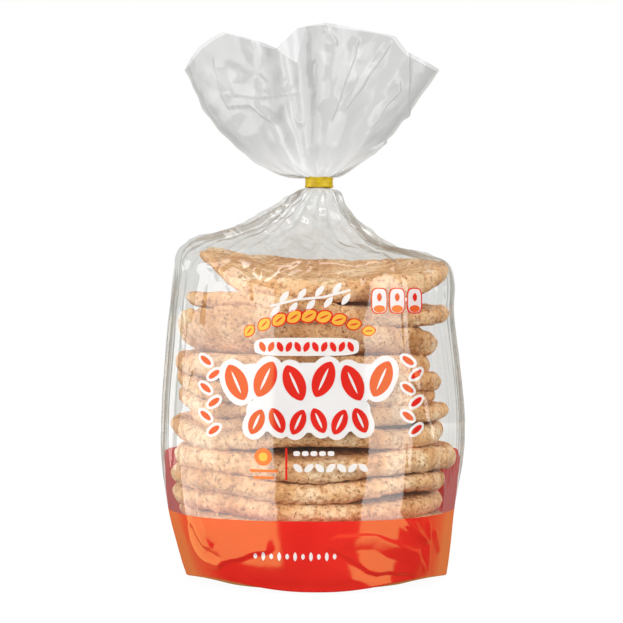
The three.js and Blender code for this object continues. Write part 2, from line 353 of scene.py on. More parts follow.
def single_creases(points, angle):
    waver = np.stack([soft_noise(points, CREASE_WAVER_LENGTH, seed) for seed in (91, 92)], axis=1)
    flat = points[:, [0, 2]] + CREASE_WAVER * waver
    in_front = angle > math.pi
    return sum(height * one_crease(flat, width, path) for height, width, path in CREASES) * in_front


def radial_folds(points, angle, count, seed):
    t = count * angle / (2 * math.pi) + 0.35 * soft_noise(points, 22.0, seed) + 0.2 * np.sin(3 * angle + 1)
    return 4 * np.abs(t - np.floor(t + 0.5)) - 1


def crease_depth(points, level, angle):
    """How far the film stands out of its plain form, in mm."""
    z = points[:, 2]
    radius = np.hypot(points[:, 0] - NECK_X, points[:, 1])
    below, above = level <= 1, level >= 1 + NECK_SPAN
    side = np.abs(np.cos(angle)) ** 4
    up_the_side = smoothstep(z, 30, 60) * (1 - smoothstep(z, 118, 132))
    flutes = fold(points * [1, 1, 0.08], np.array([0.25, 1.0, 0.0]), SIDE_FLUTE_SPACING, 0.3)
    fine_flutes = fold(points * [1, 1, 0.1], np.array([0.5, 1.0, 0.0]), SIDE_FINE_FLUTE_SPACING, 0.1)
    body = side * up_the_side * (SIDE_FLUTE * flutes + SIDE_FINE_FLUTE * fine_flutes)
    body += FRONT_CREASE * crumple(points * [1, 1, 0.5], 24, 31)
    body += BAND_BULGE * (1 - side) * np.clip(1 - ((z - BAND_BULGE_HEIGHT) / BAND_BULGE_HEIGHT) ** 2, 0, 1)
    gather = smoothstep(z, 117, 137) * smoothstep(radius, 4.5, 9)
    pleat_depth = np.minimum(PLEAT_SLOPE * radius, CONE_PLEAT_DEPTH)
    cone = gather * (CONE_CRUMPLE * crumple(points, 9.0, 43) + CONE_FINE_CRUMPLE * crumple(points, 3.6, 47)
                     + pleat_depth * radial_folds(points, angle, CONE_PLEATS, 57))
    share = np.clip(level - 1 - NECK_SPAN, 0, 1)
    open_out = smoothstep(share, 0.0, 0.12)
    near_neck = 1 - 0.95 * smoothstep(share, 0.1, 0.42)
    pleat_depth = np.minimum(PLEAT_SLOPE * radius, FLARE_PLEAT_DEPTH * near_neck)
    flare = open_out * (FLARE_CRUMPLE * smoothstep(share, 0.1, 0.7) * crumple(points, 24, 71)
                        + FLARE_FINE_CRUMPLE * crumple(points, 8, 77)
                        + pleat_depth * radial_folds(points, angle, FLARE_PLEATS, 83))
    return np.where(below, body + cone, 0) + np.where(above, flare, 0) + single_creases(points, angle)


def outward(level, angle):
    """Unit normals of the plain form, pointing out of the bag."""
    step = 1e-3
    above = film_form(np.minimum(level + step, 2 + NECK_SPAN), angle)
    below = film_form(np.maximum(level - step, 0), angle)
    around = film_form(level, angle + step) - film_form(level, angle - step)
    normal = np.cross(around, above - below)
    return normal / np.maximum(np.linalg.norm(normal, axis=1, keepdims=True), 1e-9)


def film_points(level, angle, lift=0.0):
    """Points of the creased film, moved out by lift."""
    plain = film_form(level, angle)
    depth = crease_depth(plain, level, angle) * smoothstep(plain[:, 2], 0.5, 6)
    return plain + outward(level, angle) * (depth + lift)[:, None]


# -------------------- meshes

def make_piece(name, points, faces, material, replaced):
    mesh = bpy.data.meshes.new(name)
    mesh.from_pydata((np.asarray(points) * MM).tolist(), [], faces)
    mesh.validate()
    mesh.polygons.foreach_set("use_smooth", np.full(len(mesh.polygons), True))
    mesh.materials.append(material)
    piece = bpy.data.objects.new(name, mesh)
    bpy.context.scene.collection.objects.link(piece)
    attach(piece, BODY)
    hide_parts(replaced)
    return piece


def grid_faces(rows, columns, wrap=True):
    """Quads of a grid whose rows run upwards and whose columns run anticlockwise, seen from above."""
    strips = columns if wrap else columns - 1
    row, column = np.meshgrid(np.arange(rows - 1), np.arange(strips), indexing="ij")
    here = row * columns + column
    beside = row * columns + (column + 1) % columns
    return np.stack([here, beside, beside + columns, here + columns], axis=-1).reshape(-1, 4).tolist()


# -------------------- materials

def new_material(name):
    material = bpy.data.materials.new(name)
    material.use_nodes = True
    nodes, links = material.node_tree.nodes, material.node_tree.links
    return material, nodes, links, nodes["Principled BSDF"]


def set_inputs(node, values):
    for name, value in values.items():
        node.inputs[name].default_value = value


def fill_socket(links, socket, value):
    """Link a socket to another node's output, or give it a plain value."""
    if isinstance(value, bpy.types.NodeSocket):
        links.new(value, socket)
    else:
        socket.default_value = value


def ramp_node(nodes, links, value, stops):
    """A colour that follows the value through stops, each a place and a colour."""
    ramp = nodes.new("ShaderNodeValToRGB")
    while len(ramp.color_ramp.elements) < len(stops):
        ramp.color_ramp.elements.new(0.5)
    for element, (place, colour) in zip(ramp.color_ramp.elements, stops):
        element.position = place
        element.color = (*colour, 1)
    links.new(value, ramp.inputs["Fac"])
    return ramp.outputs["Color"]


def noise_node(nodes, links, where, scale, detail=2.0, roughness=0.5):
    noise = nodes.new("ShaderNodeTexNoise")
    set_inputs(noise, {"Scale": scale, "Detail": detail, "Roughness": roughness})
    links.new(where.outputs["Object"], noise.inputs["Vector"])
    return noise.outputs["Fac"]


def math_node(nodes, links, operation, first, second):
    node = nodes.new("ShaderNodeMath")
    node.operation = operation
    fill_socket(links, node.inputs[0], first)
    fill_socket(links, node.inputs[1], second)
    return node.outputs[0]


def rise_node(nodes, links, value, low, high, first, last):
    """A smooth change from first to last while the value goes from low to high."""
    rise = nodes.new("ShaderNodeMapRange")
    rise.interpolation_type = "SMOOTHSTEP"
    set_inputs(rise, {"From Min": low, "From Max": high, "To Min": first, "To Max": last})
    links.new(value, rise.inputs["Value"])
    return rise.outputs["Result"]


def colour_mix(nodes, links, share, first, second, blend="MIX"):
    """The first colour, with a share of the second mixed in."""
    mix = nodes.new("ShaderNodeMix")
    mix.data_type = "RGBA"
    mix.blend_type = blend
    fill_socket(links, mix.inputs["Factor"], share)
    fill_socket(links, mix.inputs["A"], first)
    fill_socket(links, mix.inputs["B"], second)
    return mix.outputs["Result"]


def shader_mix(nodes, links, share, first, second):
    """The first shader, with a share of the second mixed in."""
    mix = nodes.new("ShaderNodeMixShader")
    fill_socket(links, mix.inputs[0], share)
    links.new(first, mix.inputs[1])
    links.new(second, mix.inputs[2])
    return mix.outputs[0]


def bump_node(nodes, links, height, strength, distance):
    bump = nodes.new("ShaderNodeBump")
    set_inputs(bump, {"Strength": strength, "Distance": distance})
    links.new(height, bump.inputs["Height"])
    return bump.outputs["Normal"]


def ripple_node(nodes, links, where):
    """The slight unevenness of stretched film."""
    ripple = noise_node(nodes, links, where, RIPPLE_SCALE)
    return bump_node(nodes, links, ripple, RIPPLE_STRENGTH, RIPPLE_DEPTH)


def slant_node(nodes, links, normal):
    """0 where the surface is seen square on, 1 where it is seen edge on."""
    weight = nodes.new("ShaderNodeLayerWeight")
    weight.inputs["Blend"].default_value = 0.5
    links.new(normal, weight.inputs["Normal"])
    return weight.outputs["Facing"]


def gloss_over(nodes, links, body, normal, slant, mirror, colour, roughness):
    """Make a body under a gloss the material's surface.

    Mirror is the share that the gloss mirrors square on, and the most that it mirrors at a slant.
    """
    square_on, most = mirror
    steep = math_node(nodes, links, "POWER", slant, MIRROR_STEEPNESS)
    scaled = math_node(nodes, links, "MULTIPLY", steep, 1.0 - square_on)
    total = math_node(nodes, links, "ADD", scaled, square_on)
    share = math_node(nodes, links, "MINIMUM", total, most)
    gloss = nodes.new("ShaderNodeBsdfAnisotropic")
    set_inputs(gloss, {"Color": (*colour, 1), "Roughness": roughness})
    links.new(normal, gloss.inputs["Normal"])
    surface = shader_mix(nodes, links, share, body, gloss.outputs[0])
    links.new(surface, nodes["Material Output"].inputs["Surface"])


# Noise scales are in waves a metre, and depths in metres.
RIPPLE_SCALE = 120
RIPPLE_STRENGTH = 0.06
RIPPLE_DEPTH = 0.001
MIRROR_STEEPNESS = 5.0

# What the film lets through, from square on to a slant.
SMOOTH_TINTS = [(0.15, (0.892, 0.895, 0.89)), (1.0, (0.765, 0.775, 0.76))]
CRUMPLED_TINTS = [(0.06, (0.835, 0.837, 0.833)), (0.45, (0.69, 0.693, 0.688)), (0.8, (0.80, 0.803, 0.798))]
NECK_TINT = (0.93, 0.93, 0.925)
NECK_TINT_HEIGHTS = (0.165, 0.182)  # in metres: the neck's tint fades out between them
SMOOTH_MIRROR = (0.075, 0.15)
SMOOTH_ROUGHNESS = 0.05
CRUMPLED_MIRROR = (0.04, 0.24)
CRUMPLED_ROUGHNESS = 0.17
CRUMPLED_PALENESS = 0.75

INK_MIRROR = (0.05, 0.2)
INK_ROUGHNESS = 0.1
INK_PATCH_SCALE = 45
INK_GLOW = 0.3  # share of light that passes through the ink
WARM_SHEEN = (0.95, 1.0, 0.28)

TOASTED_PATCHES = [(0.34, (0.66, 0.32, 0.115)), (0.5, (0.85, 0.51, 0.25)), (0.66, (0.98, 0.73, 0.47))]
PATCH_SCALE = 60
CRUMB_TINTS = [(0.36, (0.54, 0.36, 0.22)), (0.5, (0.97, 0.96, 0.95)), (0.64, (1.0, 1.0, 1.0))]
CRUMB_SCALE = 420
CRUMB_SHARE = 0.9
FLECK_EDGE = [(0.62, (0, 0, 0)), (0.68, (1, 1, 1))]
FLECK_SCALE = 640
BRAN = (0.33, 0.13, 0.04)
GRAIN_SCALE = 620
GRAIN_STRENGTH = 0.9
GRAIN_DEPTH = 0.0008

TIE_TINTS = [(0.35, (0.36, 0.24, 0.003)), (0.65, (0.5, 0.36, 0.006))]
TIE_PATCH_SCALE = 330


def film_material(name, tints, mirror, roughness, paleness):
    """Thin clear film: see-through and faintly grey, darker and shinier at a slant.

    Paleness is how far it turns to the neck's tint, in the tight folds just above the tie.
    """
    material, nodes, links, principled = new_material(name)
    nodes.remove(principled)
    where = nodes.new("ShaderNodeTexCoord")
    split = nodes.new("ShaderNodeSeparateXYZ")
    links.new(where.outputs["Object"], split.inputs[0])
    normal = ripple_node(nodes, links, where)
    slant = slant_node(nodes, links, normal)
    near_neck = rise_node(nodes, links, split.outputs["Z"], *NECK_TINT_HEIGHTS, paleness, 0)
    tint = colour_mix(nodes, links, near_neck, ramp_node(nodes, links, slant, tints), (*NECK_TINT, 1))
    clear = nodes.new("ShaderNodeBsdfTransparent")
    links.new(tint, clear.inputs["Color"])
    gloss_over(nodes, links, clear.outputs[0], normal, slant, mirror, (1, 1, 1), roughness)
    return material


def ink_material(name, dark, light, sheen_colour=(1, 1, 1)):
    """Ink on glossy film: a slightly uneven colour that lets some light through, with a hard sheen."""
    material, nodes, links, principled = new_material(name)
    where = nodes.new("ShaderNodeTexCoord")
    patches = noise_node(nodes, links, where, INK_PATCH_SCALE, 3)
    colour = ramp_node(nodes, links, patches, [(0.35, dark), (0.7, light)])
    links.new(colour, principled.inputs["Base Color"])
    set_inputs(principled, {"Roughness": 0.6, "Specular IOR Level": 0.0})
    glow = nodes.new("ShaderNodeBsdfTranslucent")
    glow.inputs["Color"].default_value = (*light, 1)
    body = shader_mix(nodes, links, INK_GLOW, principled.outputs[0], glow.outputs[0])
    normal = ripple_node(nodes, links, where)
    slant = slant_node(nodes, links, normal)
    gloss_over(nodes, links, body, normal, slant, INK_MIRROR, sheen_colour, INK_ROUGHNESS)
    return material


def cake_material():
    """Puffed wheat: cream and tan grains, toasted patches, and dark flecks of bran."""
    material, nodes, links, principled = new_material("puffed_wheat")
    where = nodes.new("ShaderNodeTexCoord")
    patches = noise_node(nodes, links, where, PATCH_SCALE, 3, 0.55)
    crumb = noise_node(nodes, links, where, CRUMB_SCALE, 4, 0.7)
    flecks = noise_node(nodes, links, where, FLECK_SCALE, 2, 0.6)
    toasted = ramp_node(nodes, links, patches, TOASTED_PATCHES)
    crumb_tint = ramp_node(nodes, links, crumb, CRUMB_TINTS)
    crumbed = colour_mix(nodes, links, CRUMB_SHARE, toasted, crumb_tint, "MULTIPLY")
    flecked = colour_mix(nodes, links, ramp_node(nodes, links, flecks, FLECK_EDGE), crumbed, (*BRAN, 1))
    links.new(flecked, principled.inputs["Base Color"])
    grains = nodes.new("ShaderNodeTexVoronoi")
    grains.inputs["Scale"].default_value = GRAIN_SCALE
    links.new(where.outputs["Object"], grains.inputs["Vector"])
    height = math_node(nodes, links, "ADD", grains.outputs["Distance"], crumb)
    links.new(bump_node(nodes, links, height, GRAIN_STRENGTH, GRAIN_DEPTH), principled.inputs["Normal"])
    set_inputs(principled, {
        "Roughness": 0.85,
        "Specular IOR Level": 0.25,
        "Subsurface Weight": 0.2,
        "Subsurface Radius": (1.0, 0.55, 0.3),
        "Subsurface Scale": 0.003,
    })
    return material


def tie_material():
    """Satin yellow plastic, a little darker in patches along the strip."""
    material, nodes, links, principled = new_material("yellow_tie")
    patches = noise_node(nodes, links, nodes.new("ShaderNodeTexCoord"), TIE_PATCH_SCALE)
    links.new(ramp_node(nodes, links, patches, TIE_TINTS), principled.inputs["Base Color"])
    set_inputs(principled, {"Roughness": 0.4, "Specular IOR Level": 0.2})
    return material


film = film_material("clear_film", SMOOTH_TINTS, SMOOTH_MIRROR, SMOOTH_ROUGHNESS, 0.0)
crumpled_film = film_material(
    "crumpled_film", CRUMPLED_TINTS, CRUMPLED_MIRROR, CRUMPLED_ROUGHNESS, CRUMPLED_PALENESS)
band_ink = ink_material("orange_red_ink", (0.65, 0.012, 0.013), (0.7, 0.02, 0.017), WARM_SHEEN)
orange_ink = ink_material("orange_ink", (0.74, 0.10, 0.025), (0.8, 0.13, 0.035), WARM_SHEEN)
white_ink = ink_material("white_ink", (0.74, 0.73, 0.72), (0.78, 0.77, 0.76))
yellow_ink = ink_material("yellow_ink", (0.76, 0.43, 0.05), (0.82, 0.5, 0.08), WARM_SHEEN)
wheat = cake_material()
tie_yellow = tie_material()

# -------------------- film and band

FRONT_COLUMNS = 300
BACK_COLUMNS = 170
BODY_ROWS = 180
FLARE_ROWS = 110
BAND_ROWS = 44
BAND_FRONT = 28.0  # top of the printed band, at the front and at the back
BAND_BACK = 50.0
HIGHEST_BAND_LEVEL = 0.5  # the film level that the band's edge stays below

angles = np.concatenate([np.arange(BACK_COLUMNS) * math.pi / BACK_COLUMNS,
                         math.pi + np.arange(FRONT_COLUMNS) * math.pi / FRONT_COLUMNS])
AROUND = len(angles)


def band_top(angle):
    """Height of the band's edge: low across the front, higher round the back."""
    return BAND_FRONT + (BAND_BACK - BAND_FRONT) * smoothstep(np.sin(angle), -0.1, 0.16)


def level_at_height(angle, height):
    """The film level at which each angle's column reaches its height."""
    tries = np.linspace(0, HIGHEST_BAND_LEVEL, 80)
    found = np.empty(len(angle))
    for i, (a, h) in enumerate(zip(angle, height)):
        found[i] = np.interp(h, film_form(tries, np.full(len(tries), a))[:, 2], tries)
    return found


def sheet_points(levels):
    """Film points for a grid of levels, one row of angles for each."""
    return film_points(levels.ravel(), np.tile(angles, len(levels)))


band_level = level_at_height(angles, band_top(angles))


def make_film():
    share = np.linspace(0, 1, BODY_ROWS)[:, None]
    levels = band_level[None, :] + (1 - band_level[None, :]) * share
    make_piece("film", sheet_points(levels), grid_faces(BODY_ROWS, AROUND), film, "bag")


def make_film_top():
    """The neck inside the tie and the flare above it."""
    neck = np.full((1, AROUND), 1.0)
    flare = 1 + NECK_SPAN + np.linspace(0, 1, FLARE_ROWS)[:, None] + np.zeros((1, AROUND))
    levels = np.vstack([neck, flare])
    faces = grid_faces(len(levels), AROUND)
    make_piece("film_top", sheet_points(levels), faces, crumpled_film, "bag")


def make_band():
    levels = band_level[None, :] * np.linspace(0, 1, BAND_ROWS)[:, None]
    wall = sheet_points(levels)
    flat = wall[:AROUND] * [BASE_FLAT_SHARE, BASE_FLAT_SHARE, 0]
    points = np.vstack([flat * [0.5, 0.5, 0], flat, wall, [[0, 0, 0]]])
    faces = grid_faces(BAND_ROWS + 2, AROUND)
    middle = len(points) - 1
    faces += [(middle, (i + 1) % AROUND, i) for i in range(AROUND)]
    make_piece("band", points, faces, band_ink, "bag")


make_film()
make_film_top()
make_band()

# -------------------- the print on the front

PLACE_STEPS = 14
PLACE_START = 0.3
INK_LIFT = 0.12  # each layer of print stands this far off the one below
PRINT_STEP = 1.1  # size of the print's mesh
printed = {"white": [], "red": [], "orange": [], "yellow": []}


def front_place(x, z):
    """The film level and angle at which the front passes each place across and up, found step by step."""
    step = 1e-3
    level = np.full(len(x), PLACE_START)
    for _ in range(PLACE_STEPS):
        left, _, right, *_ = spline_rows(LEVELS, level).T
        share = np.clip((x - (right - left) / 2) / ((right + left) / 2), -0.99, 0.99)
        angle = 2 * math.pi - np.arccos(signed_power(share, squareness_at(level) / 2))
        here = film_form(level, angle)[:, 2]
        slope = (film_form(level + step, angle)[:, 2] - here) / step
        level = level + (z - here) / slope
    return level, angle


def blob(ink, layer, cx, cz, half_width, half_height, tilt=0.0, point=0.0, square=0.0):
    """A filled shape: an oval, drawn to a point at top and bottom by point, or with corners by square."""
    rings = max(2, math.ceil(max(half_width, half_height) / PRINT_STEP))
    around = 40
    turn = np.arange(around) * 2 * math.pi / around
    across = half_width * signed_power(np.cos(turn), (1 + point) * (1 - square))
    up = half_height * signed_power(np.sin(turn), 1 - square)
    c, s = math.cos(math.radians(tilt)), math.sin(math.radians(tilt))
    share = np.repeat(np.linspace(0, 1, rings + 1)[1:], around)
    x = cx + share * np.tile(across * c + up * s, rings)
    z = cz + share * np.tile(up * c - across * s, rings)
    faces = [tuple(reversed(face)) for face in grid_faces(rings, around)]
    middle = rings * around
    faces += [(middle, i, (i + 1) % around) for i in range(around)]
    printed[ink].append((np.append(x, cx), np.append(z, cz), faces, layer * INK_LIFT))


def strip(ink, layer, path, width):
    """A line with round ends along a path of (x, z) points."""
    path = np.array(path, dtype=float)
    length = np.concatenate([[0], np.cumsum(np.hypot(*np.diff(path, axis=0).T))])
    end = width / 2
    steps = max(8, math.ceil(length[-1] / PRINT_STEP))
    round_end = end * (1 - np.cos(np.linspace(0, 1.5, 6)))
    along = np.unique(np.concatenate([np.linspace(0, length[-1], steps), round_end, length[-1] - round_end]))
    x, z = np.interp(along, length, path[:, 0]), np.interp(along, length, path[:, 1])
    dx, dz = np.gradient(x, along), np.gradient(z, along)
    to_end = np.clip(np.minimum(along, length[-1] - along), 0, end)
    half = end * np.sqrt(np.clip(1 - (1 - to_end / end) ** 2, 0.01, 1))
    ranks = np.linspace(-1, 1, 5)
    px = (x[:, None] - dz[:, None] * half[:, None] * ranks / np.hypot(dx, dz)[:, None]).ravel()
    pz = (z[:, None] + dx[:, None] * half[:, None] * ranks / np.hypot(dx, dz)[:, None]).ravel()
    faces = [tuple(reversed(face)) for face in grid_faces(len(along), 5, wrap=False)]
    printed[ink].append((px, pz, faces, layer * INK_LIFT))


def arc(x0, x1, low, high, steps):
    """Points of a bow that rises from its two ends to its middle."""
    t = np.linspace(-1, 1, steps)
    return np.stack([(x0 + x1) / 2 + (x1 - x0) / 2 * t, high - (high - low) * t ** 2], axis=1)


def alternate(i, size=1):
    """Size for every second one, and minus size for those between."""
    return size if i % 2 else -size


def draw_sprig():
    """A white stem with slanted leaves above the yellow garland."""
    leaf = dict(half_width=1.15, half_height=2.7, tilt=38, point=0.6)
    strip("white", 1, [(-16.5, 110.8), (-6, 113.4), (4, 114.2), (14.5, 117.0)], width=0.9)
    for i in range(9):
        stem_x, stem_z = -14.5 + 3.4 * i, 111.4 + 0.55 * i
        blob("white", 1, stem_x, stem_z + 2.4 * alternate(i), **leaf)


def draw_garland():
    """An arc of yellow leaves edged in red, smaller towards its two ends."""
    left, right = -24.6, 21.5
    end_height, top_height = 101.2, 107.0
    for x, z in arc(left, right, end_height, top_height, steps=9):
        t = (2 * x - left - right) / (right - left)
        size = 1 - 0.22 * t ** 2
        tilt = 62 + 24 * t
        blob("red", 1, x, z, 2.75 * size, 3.7 * size, tilt, point=0.45)
        blob("yellow", 2, x, z, 2.2 * size, 3.1 * size, tilt, point=0.45)
        blob("red", 3, x, z, 0.3, 1.9 * size, tilt, point=0.3)


def draw_pill():
    """A white bar with a row of small red leaves."""
    height = 95.1
    blob("white", 1, -2.5, height, half_width=20.2, half_height=3.5, square=0.55)
    for i in range(11):
        blob("red", 2, -19.5 + 3.4 * i, height, 1.15, 2.1, tilt=alternate(i, 24), point=0.5)


def grain(cx, cz, half_width, half_height, tilt):
    """A red wheat grain with a pale groove, on a white ground."""
    blob("white", 1, cx, cz, half_width + 2.0, half_height + 1.9, tilt, point=0.1, square=0.15)
    blob("red", 2, cx, cz, half_width, half_height, tilt, point=0.35)
    blob("white", 3, cx, cz, 0.5, half_height * 0.62, tilt, point=0.4)


def draw_grains():
    """Two rows of grains on one white field, large above and small below."""
    middle, upper_row, lower_row = -1.8, 81.8, 66.4
    blob("white", 1, middle, upper_row, half_width=31.5, half_height=7.2, square=0.5)
    blob("white", 1, middle, 69.0, half_width=24.0, half_height=7.0, square=0.5)
    for i in range(6):
        grain(-29.6 + 11.2 * i, upper_row + (0.8 if i % 2 else -0.6), 4.1, 7.4, alternate(i, 24))
    for i in range(6):
        grain(-21.8 + 8.0 * i, lower_row + alternate(i, 0.3), 2.9, 5.2, alternate(i, -24))


def draw_side_leaves():
    """A column of six small leaves at each side of the grains."""
    for middle in (-40.2, 38.6):
        for i in range(6):
            x, z = middle + alternate(i, 1.7), 89.5 - 5.4 * i
            blob("white", 1, x, z, 2.2, 3.7, tilt=alternate(i, 52))
            blob("red", 2, x, z, 1.1, 2.6, tilt=alternate(i, 52))


def draw_tabs():
    """Three white tabs edged in red at the upper right, each with an orange foot and a red drop."""
    height = 112.8
    for i in range(3):
        x = 25.6 + 7.0 * i
        blob("red", 1, x, height, 3.25, 5.1, square=0.45)
        blob("white", 2, x, height, 2.75, 4.6, square=0.45)
        blob("orange", 3, x, height - 3.1, 2.2, 1.4)
        blob("red", 3, x, height + 1.4, 0.9, 1.6, point=0.4)


def draw_lower_signs():
    """A disc over two lines, an upright line, and two rows of white marks, below the grains."""
    disc = (-19.2, 52.6)
    blob("orange", 1, *disc, 3.4, 3.4)
    blob("yellow", 2, *disc, 1.7, 1.7)
    strip("orange", 1, [(-24.5, 47.2), (-13.5, 47.2)], width=1.1)
    strip("orange", 1, [(-23.0, 44.6), (-15.0, 44.6)], width=1.1)
    strip("red", 1, [(-10.3, 56.2), (-10.3, 43.6)], width=0.8)
    for i in range(5):
        blob("white", 1, -6.3 + 3.3 * i, 54.0, 1.3, 0.95, square=0.3)
    for i in range(7):
        blob("white", 1, -5.8 + 4.2 * i, 48.4, 1.25, 2.2, tilt=alternate(i, 50), point=0.4)


def draw_band_dots():
    """A row of white dots on the band, tall and short by turns."""
    for i in range(11):
        blob("white", 1, -21.8 + 3.0 * i, 14.5, 0.7, 1.7 if i % 2 else 1.1, point=0.4)


def make_print(ink, material):
    """One piece for all the shapes of an ink."""
    points, faces, count = [], [], 0
    for x, z, shape_faces, lift in printed[ink]:
        level, angle = front_place(x, z)
        points.append(film_points(level, angle, lift))
        faces += [tuple(i + count for i in face) for face in shape_faces]
        count += len(x)
    make_piece(f"print_{ink}", np.vstack(points), faces, material, "bag")


for draw in (draw_sprig, draw_garland, draw_pill, draw_grains, draw_side_leaves, draw_tabs, draw_lower_signs,
             draw_band_dots):
    draw()
make_print("white", white_ink)
make_print("red", band_ink)
make_print("orange", orange_ink)
make_print("yellow", yellow_ink)

# -------------------- cakes

CAKE_AROUND = 440
PRESSED_DEPTH = 0.975  # share of a cake's width that it measures from front to back
RIM_STEPS = 15
# Rings of a cake's faces, as shares of the way out to the rim: close together where the face is seen.
FACE_STEPS = (0.3, 0.5, 0.62, 0.7, 0.76, 0.81, 0.85, 0.88, 0.905, 0.925, 0.945, 0.96, 0.972, 0.985)
EVEN_FACE_STEPS = np.linspace(0, 0.98, 30)[1:]
# Directions of right, back, left, front left, front, front right and right again, in degrees.
RIM_PLACES = (0, 90, 180, 225, 270, 315, 360)
NOISE_RING = 20.0  # radius of the ring on which the outline's noise is read
OUTLINE_WAVES = ((0.02, 9.0), (0.01, 3.0))  # how far the outline strays, as a share, and the noise's size
THICKNESS_STRAY = 0.16
THICKNESS_WAVE = 19.0
SAG = 0.6
SAG_WAVE = 34.0
PUFF_LAYERS = ((0.7, 6.0), (0.5, 3.0), (0.3, 1.7))  # height and size of each sort of grain, in mm
NOISE_APART = 200.0  # how far apart in the noise two cakes lie, so that no two are alike


def rim_curve(turn, heights, places):
    """Heights round the rim, eased between the named directions."""
    heights = np.array([*heights, heights[0]], dtype=float)
    degrees = np.degrees(turn) % 360
    low = np.searchsorted(places, degrees, side="right") - 1
    start, end = np.array(places)[low], np.array(places)[low + 1]
    share = smoothstep((degrees - start) / (end - start), 0, 1)
    return heights[low] + (heights[low + 1] - heights[low]) * share


def make_cake(number, rim, middle, thickness, radius, shift=0.0, power=2.0, thin=(0.0, 0.0),
              face_steps=FACE_STEPS, places=RIM_PLACES):
    """One round cake.

    Rim and middle are heights of its mid plane, and power is how late it bends up from the one to the other.
    Shift moves it to the right, and thin is how much thinner its left and right ends are.
    """
    turn = np.arange(CAKE_AROUND) * 2 * math.pi / CAKE_AROUND
    half = thickness / 2
    reach = radius - half
    shares = np.array(face_steps)
    edge = np.linspace(-math.pi / 2, math.pi / 2, RIM_STEPS)
    flat_rows = np.full(len(shares), half)
    flat_lean = np.full(len(shares), math.pi / 2)
    distance = np.concatenate([shares * reach, reach + half * np.cos(edge), (shares * reach)[::-1]])
    rise = np.concatenate([-flat_rows, half * np.sin(edge), flat_rows])
    lean = np.repeat(np.concatenate([-flat_lean, edge, flat_lean]), CAKE_AROUND)
    rows = len(distance)
    d, a = np.repeat(distance, CAKE_AROUND), np.tile(turn, rows)
    points = np.stack([d * np.cos(a), d * np.sin(a), np.repeat(rise, CAKE_AROUND)], axis=1)

    seed = SEED + 97 * number
    here = points + [0, 0, NOISE_APART * number]
    flat_here = here * [1, 1, 0]
    ring = NOISE_RING * np.stack([np.cos(a), np.sin(a), 0 * a], axis=1)
    stray = sum((share * soft_noise(ring, size, seed) for share, size in OUTLINE_WAVES), start=1)
    points[:, :2] *= stray[:, None]
    points[:, 2] *= 1 + THICKNESS_STRAY * soft_noise(flat_here, THICKNESS_WAVE, seed + 1)
    for direction, how_much in zip((-1, 1), thin):
        points[:, 2] *= 1 - how_much * smoothstep(direction * points[:, 0] / radius, 0.2, 1.0)
    normal = np.stack([np.cos(a) * np.cos(lean), np.sin(a) * np.cos(lean), np.sin(lean)], axis=1)
    layers = enumerate(PUFF_LAYERS, start=seed + 2)
    bumps = sum(height * (puffs(here, size, own_seed) - 0.5) for own_seed, (height, size) in layers)
    points += normal * bumps[:, None]

    share = np.clip(np.hypot(points[:, 0], points[:, 1]) / radius, 0, 1.1)
    points[:, 2] += middle + (rim_curve(a, rim, places) - middle) * share ** power
    points[:, 2] += SAG * soft_noise(flat_here, SAG_WAVE, seed + 5)
    points[:, 1] *= PRESSED_DEPTH
    points[:, 0] += shift
    low_middle = points[:CAKE_AROUND].mean(axis=0)
    high_middle = points[-CAKE_AROUND:].mean(axis=0)
    bottom, top = len(points), len(points) + 1
    points = np.vstack([points, low_middle, high_middle])
    faces = grid_faces(rows, CAKE_AROUND)
    last = (rows - 1) * CAKE_AROUND
    faces += [(bottom, (i + 1) % CAKE_AROUND, i) for i in range(CAKE_AROUND)]
    faces += [(last + i, last + (i + 1) % CAKE_AROUND, top) for i in range(CAKE_AROUND)]
    make_piece(f"cake_{number:02d}", points, faces, wheat, "bag")


